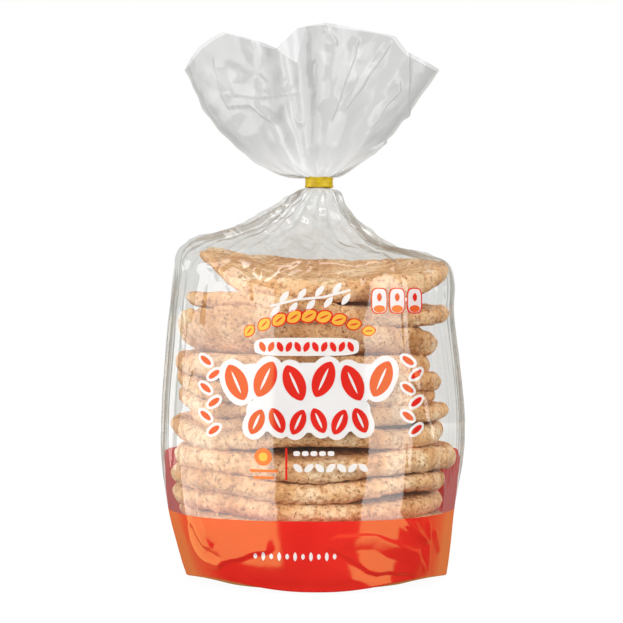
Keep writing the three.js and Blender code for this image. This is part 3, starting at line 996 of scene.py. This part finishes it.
# From the base up, in mm. Where a cake has places of its own, its rim has a height for each of them.
CAKES = [
    dict(rim=(5.2, 5.2, 5.4, 5.2, 5.0, 5.2), middle=5.0, thickness=7.6, radius=50.5),
    dict(rim=(13.2, 13.2, 15.5, 14.0, 13.0, 13.2), middle=13.2, thickness=7.4, radius=53.0),
    dict(rim=(21.8, 22.0, 28.0, 25.5, 22.2, 21.8), middle=21.8, thickness=7.4, radius=54.0),
    dict(rim=(29.8, 31.0, 34.6, 33.9, 29.6, 30.2), middle=30.4, thickness=7.4, radius=55.1, shift=-2.4),
    dict(rim=(39.4, 39.0, 42.2, 41.2, 37.2, 40.4), middle=38.3, thickness=7.3, radius=56.7, shift=-1.9),
    dict(rim=(48.6, 51.5, 49.8, 48.6, 45.6, 48.7), middle=49.6, thickness=8.8, radius=57.2, shift=0.9),
    dict(rim=(59.0, 59.0, 61.8, 57.4, 60.9, 57.6), middle=57.8, thickness=7.6, radius=56.0, shift=-2.2),
    dict(rim=(67.0, 66.0, 68.0, 63.4, 66.6, 68.0), middle=65.6, thickness=6.4, radius=53.2, shift=2.6),
    dict(rim=(73.2, 73.0, 74.3, 69.0, 73.0, 74.0), middle=72.3, thickness=6.2, radius=52.4, shift=-2.2),
    dict(rim=(79.7, 80.5, 81.0, 75.8, 79.8, 80.5), middle=79.5, thickness=7.0, radius=53.8, shift=-1.6),
    dict(rim=(86.0, 89.5, 87.2, 86.8, 87.4, 87.5), middle=85.6, thickness=8.0, radius=52.7, shift=-3.9),
    dict(rim=(95.0, 99.5, 102.2, 109.4, 107.6, 100.8, 99.6), middle=93.6, thickness=8.6, radius=53.8,
         shift=-2.7, power=6.0, places=(0, 90, 174, 212, 245, 285, 324, 360)),
    dict(rim=(107.3, 108.0, 113.6, 113.4, 112.3, 107.0, 106.2), middle=108.0, thickness=8.6, radius=53.8,
         shift=2.0, thin=(0.36, 0.25), places=(0, 90, 180, 225, 247, 285, 324, 360)),
    dict(rim=(125.0, 126.8, 127.2, 130.0, 134.2, 132.6, 131.6, 118.0, 116.5, 118.5), middle=117.4,
         thickness=8.6, radius=51.2, shift=4.0, power=1.85, thin=(0.45, 0.0), face_steps=EVEN_FACE_STEPS,
         places=(0, 60, 93, 125, 160, 180, 196, 236, 270, 315, 360)),
]
for number, cake in enumerate(CAKES, start=1):
    make_cake(number, **cake)

# -------------------- the tie

TIE_THICKNESS = 0.75
TIE_CLEARANCE = 0.35
TIE_OVERLAP = math.radians(70)
TIE_CLIMB = 1.2  # over how much of a turn, in radians, the strip climbs onto its start
TIE_END_LIFT = 1.3
TIE_SWAY = 0.12
TIE_STEPS = 110
# The strip's section, out from the neck and up: thin ribs run along its two edges and its middle.
TIE_SECTION = np.array([
    [0.0, 0.1], [0.0, 4.1], [0.15, 4.2], [0.6, 4.2], [0.75, 4.05], [0.75, 3.6], [0.55, 3.3], [0.5, 2.4],
    [0.72, 2.1], [0.5, 1.8], [0.55, 0.9], [0.75, 0.6], [0.75, 0.15], [0.6, 0.0], [0.15, 0.0]])


def make_tie():
    """A narrow strip wound once round the neck, with its end over its start."""
    full_turn = 2 * math.pi
    turn = np.linspace(0, full_turn + TIE_OVERLAP, TIE_STEPS)
    over = smoothstep(turn, full_turn - TIE_CLIMB, full_turn)
    end_lift = TIE_END_LIFT * smoothstep(turn, full_turn, full_turn + TIE_OVERLAP)
    stand = TIE_CLEARANCE + (TIE_THICKNESS + TIE_CLEARANCE) * over + end_lift
    rings = []
    for a, s in zip(turn, stand):
        out = s + TIE_SECTION[:, 0]
        sway = TIE_SWAY * math.sin(5 * a)
        rings.append(np.stack([
            NECK_X + (NECK_HALF_WIDTH + out) * math.cos(a), (NECK_HALF_DEPTH + out) * math.sin(a),
            TIE_BOTTOM + TIE_SECTION[:, 1] + sway], axis=1))
    count = len(TIE_SECTION)
    faces = grid_faces(TIE_STEPS, count)
    faces += [tuple(range(count)), tuple((TIE_STEPS - 1) * count + i for i in reversed(range(count)))]
    make_piece("tie_strip", np.vstack(rings), faces, tie_yellow, "tie")


make_tie()

# -------------------- stage, light and camera

CAMERA_DISTANCE = 800.0
CAMERA_HEIGHT = 117.0
CAMERA_X = -0.6
MM_PER_PIXEL = 0.415
PHOTO_SIZE = 623
EYE_ROW = 290.0
SENSOR = 36.0

# The stage is in metres.
FLOOR_HALF_WIDTH = 1.2
FLOOR_DROP = 0.0003
FLOOR_GREY = (0.04, 0.04, 0.04, 1)
FLOOR_GLOW = 0.96
LIGHT_DISTANCE = 0.9
LIGHT_AIM = Vector((0, 0, 0.08))

# Azimuth, elevation, width, height and radiance. Azimuth 0 is the camera's side and 90 the right.
MIRRORED_LIGHTS = {
    "left_box": (-55, 4, 1.33, 0.9, 3.0),
    "low_left_box": (-101, -11, 0.36, 0.5, 3.0),
    "right_box": (46, 4, 0.55, 0.9, 3.0),
    "glint_box": (-25, 55, 0.05, 0.6, 6.0),
    "top_box": (10, 80, 0.5, 0.2, 3.0),
}
LIGHTS = {
    "left_light": (-48, 2, 1.0, 0.9, 4.1),
    "right_light": (50, 12, 0.7, 0.9, 3.8),
    "back_light": (180, 0, 1.2, 0.4, 10.0),
}

# The world's strength along an axis: where its change starts and ends, and the strengths there.
MIRRORED_BEHIND = (-0.1, 0.45, 0.2, 0.85)
MIRRORED_ABOVE = (0.35, 0.8, 0.2, 0.8)
LIGHT_ABOVE = (-0.3, 0.7, 0.3, 1.1)
WHITE = (1, 1, 1, 1)
MIRRORED_COLOUR = (1, 0.95, 0.88, 1)


def make_floor():
    """A pale floor, bright enough to fade into the white behind it."""
    half = FLOOR_HALF_WIDTH
    corners = [(-half, -half, 0), (half, -half, 0), (half, half, 0), (-half, half, 0)]
    mesh = bpy.data.meshes.new("floor")
    mesh.from_pydata(corners, [], [(0, 1, 2, 3)])
    material, _, _, principled = new_material("pale_floor")
    set_inputs(principled, {
        "Base Color": FLOOR_GREY,
        "Roughness": 0.9,
        "Specular IOR Level": 0.0,
        "Emission Color": WHITE,
        "Emission Strength": FLOOR_GLOW,
    })
    mesh.materials.append(material)
    floor = bpy.data.objects.new("floor", mesh)
    floor.location.z = -FLOOR_DROP
    floor.visible_diffuse = False
    floor.visible_glossy = False
    bpy.context.scene.collection.objects.link(floor)


def soft_box(name, azimuth, elevation, width, height, radiance, mirrored):
    """An area light, either seen only in shiny film or lighting only surfaces."""
    light = bpy.data.lights.new(name, "AREA")
    light.shape = "RECTANGLE"
    light.size, light.size_y = width, height
    light.energy = radiance * math.pi * width * height
    lamp = bpy.data.objects.new(name, light)
    a, e = math.radians(azimuth), math.radians(elevation)
    way = Vector((math.sin(a) * math.cos(e), -math.cos(a) * math.cos(e), math.sin(e)))
    lamp.location = LIGHT_AIM + LIGHT_DISTANCE * way
    lamp.rotation_euler = (LIGHT_AIM - lamp.location).to_track_quat("-Z", "Y").to_euler()
    lamp.visible_diffuse = not mirrored
    lamp.visible_glossy = mirrored
    lamp.visible_camera = False
    bpy.context.scene.collection.objects.link(lamp)


def make_world():
    """White behind the bag, and light that is stronger from above.

    Shiny film mirrors a dim room in front and a bright one above and behind.
    """
    world = bpy.data.worlds.new("studio")
    bpy.context.scene.world = world
    world.use_nodes = True
    world.cycles.sampling_method = "NONE"
    nodes, links = world.node_tree.nodes, world.node_tree.links
    where = nodes.new("ShaderNodeTexCoord")
    split = nodes.new("ShaderNodeSeparateXYZ")
    links.new(where.outputs["Generated"], split.inputs[0])
    behind = rise_node(nodes, links, split.outputs["Y"], *MIRRORED_BEHIND)
    above = rise_node(nodes, links, split.outputs["Z"], *MIRRORED_ABOVE)
    lit = rise_node(nodes, links, split.outputs["Z"], *LIGHT_ABOVE)
    seen = nodes["Background"]
    seen.inputs["Color"].default_value = WHITE
    lighting = nodes.new("ShaderNodeBackground")
    lighting.inputs["Color"].default_value = WHITE
    links.new(lit, lighting.inputs["Strength"])
    mirrored = nodes.new("ShaderNodeBackground")
    mirrored.inputs["Color"].default_value = MIRRORED_COLOUR
    links.new(math_node(nodes, links, "MAXIMUM", behind, above), mirrored.inputs["Strength"])
    path = nodes.new("ShaderNodeLightPath")
    unseen = shader_mix(nodes, links, path.outputs["Is Glossy Ray"], lighting.outputs[0], mirrored.outputs[0])
    surface = shader_mix(nodes, links, path.outputs["Is Camera Ray"], unseen, seen.outputs[0])
    links.new(surface, nodes["World Output"].inputs["Surface"])


def make_camera():
    camera = bpy.data.cameras.new("camera")
    camera.sensor_width = SENSOR
    camera.lens = SENSOR * CAMERA_DISTANCE / (MM_PER_PIXEL * PHOTO_SIZE)
    camera.shift_y = -((PHOTO_SIZE / 2) - EYE_ROW) / PHOTO_SIZE
    camera.clip_start = 0.01
    camera.clip_end = 50
    eye = bpy.data.objects.new("camera", camera)
    eye.location = (CAMERA_X * MM, -CAMERA_DISTANCE * MM, CAMERA_HEIGHT * MM)
    eye.rotation_euler = (math.pi / 2, 0, 0)
    bpy.context.scene.collection.objects.link(eye)
    bpy.context.scene.camera = eye


make_floor()
make_world()
for name, numbers in MIRRORED_LIGHTS.items():
    soft_box(name, *numbers, mirrored=True)
for name, numbers in LIGHTS.items():
    soft_box(name, *numbers, mirrored=False)
make_camera()

scene = bpy.context.scene
scene.view_settings.view_transform = "Standard"
scene.view_settings.look = "None"
scene.cycles.transparent_max_bounces = 24
scene.cycles.max_bounces = 10
scene.cycles.diffuse_bounces = 6
